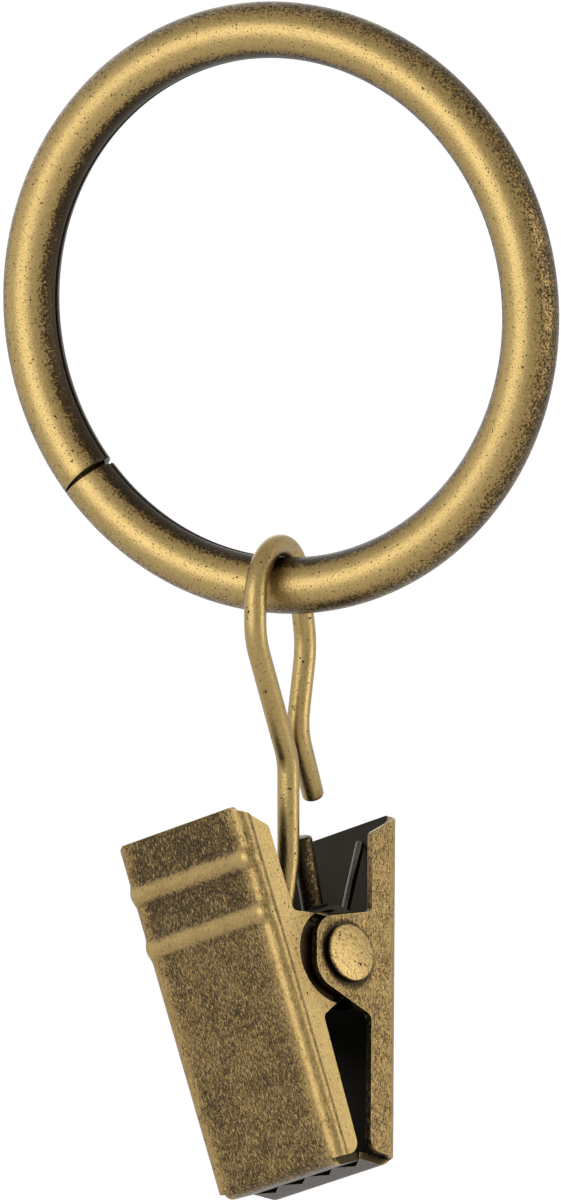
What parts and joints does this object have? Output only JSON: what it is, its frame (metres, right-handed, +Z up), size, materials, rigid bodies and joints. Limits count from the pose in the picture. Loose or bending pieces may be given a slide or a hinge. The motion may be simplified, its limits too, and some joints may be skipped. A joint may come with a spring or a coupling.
{
  "type": "curtain ring with clip",
  "caption": "Round tubular curtain ring with a bent wire hook and a sprung, toothed clip that hangs from it to grip a curtain's top edge.",
  "frame": {"origin": "centre of the ring, on the curtain rod's axis", "axes": "+Y along the rod, away from the room; +Z up; +X to the right, seen from the room; the clip hangs below the ring"},
  "size_m": [0.0466, 0.0205, 0.0922],
  "materials": {
    "ring_tube": "antique, brushed bright over a dark patina",
    "hook_wire": "antique, brushed bright over a dark patina",
    "jaw_sheet": "antique, mottled, with bright worn edges",
    "rivet": "antique, worn bright",
    "spring_wire": "dark spring wire"
  },
  "bodies": {
    "ring": {"ring": "ring_tube"},
    "hook": {"hook": "hook_wire"},
    "rear_jaw": {"rear_jaw": "jaw_sheet", "pivot_pin": "rivet", "torsion_spring": "spring_wire"},
    "front_jaw": {"front_jaw": "jaw_sheet"}
  },
  "joints": [
    {"name": "hook_swing", "type": "hinge", "parent": "ring", "child": "hook", "pos_m": [0, 0, -0.02116], "axis": [1, 0, 0], "range_deg": [-120, 120]},
    {"name": "clip_swivel", "type": "hinge", "parent": "hook", "child": "rear_jaw", "pos_m": [-0.001, 0.00318, -0.05148], "axis": [0.8923, -0.3195, 0.319], "range_deg": [-5, 12]},
    {"name": "jaw_open", "type": "hinge", "parent": "rear_jaw", "child": "front_jaw", "pos_m": [-0.001, 0.00318, -0.05148], "axis": [-0.8923, 0.3195, -0.319], "range_deg": [0, 16], "stiffness_Nm_per_rad": 0.06, "springref_deg": -28.65, "deforming": ["torsion_spring"]}
  ]
}
